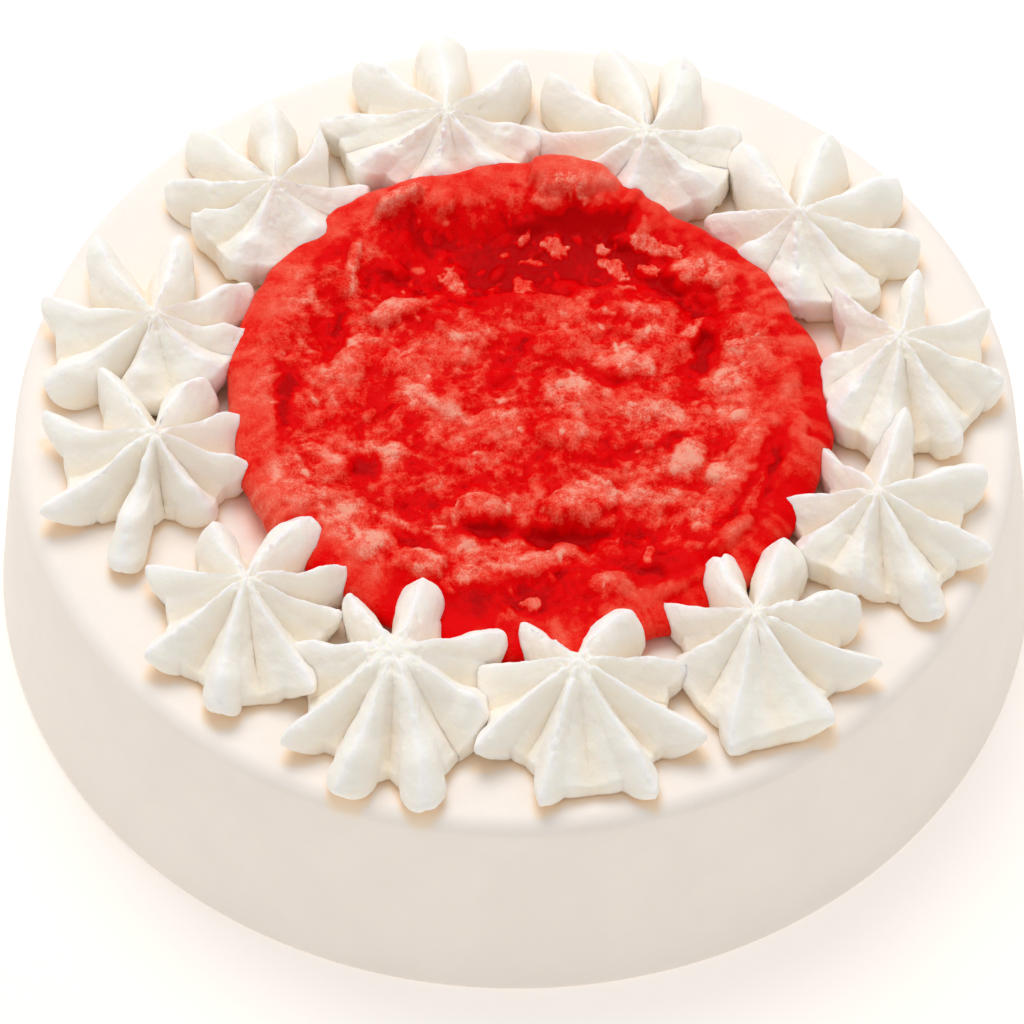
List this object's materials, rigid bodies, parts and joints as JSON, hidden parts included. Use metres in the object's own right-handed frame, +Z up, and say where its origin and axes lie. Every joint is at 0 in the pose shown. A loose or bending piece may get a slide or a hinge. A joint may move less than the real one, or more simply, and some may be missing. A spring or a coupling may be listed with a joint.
{
  "type": "strawberry cake",
  "caption": "Low round uncut cake under smooth white cream, with a ring of piped cream rosettes round a pool of strawberry compote.",
  "frame": {"origin": "centre of the cake's flat underside", "axes": "+Z up through the cake; -Y towards the front, the side nearest the viewer of the picture; +X to the viewer's right"},
  "size_m": [0.158, 0.158, 0.0487],
  "materials": {
    "cream": "smooth whipped cream coat",
    "piped_cream": "piped whipped cream, soft sheen",
    "strawberry_compote": "wet glossy gel with pieces of fruit"
  },
  "bodies": {
    "root": {"cake": "cream", "strawberry_compote": "strawberry_compote", "rosette_01": "piped_cream", "rosette_02": "piped_cream", "rosette_03": "piped_cream", "rosette_04": "piped_cream", "rosette_05": "piped_cream", "rosette_06": "piped_cream", "rosette_07": "piped_cream", "rosette_08": "piped_cream", "rosette_09": "piped_cream", "rosette_10": "piped_cream", "rosette_11": "piped_cream", "rosette_12": "piped_cream"}
  },
  "joints": []
}
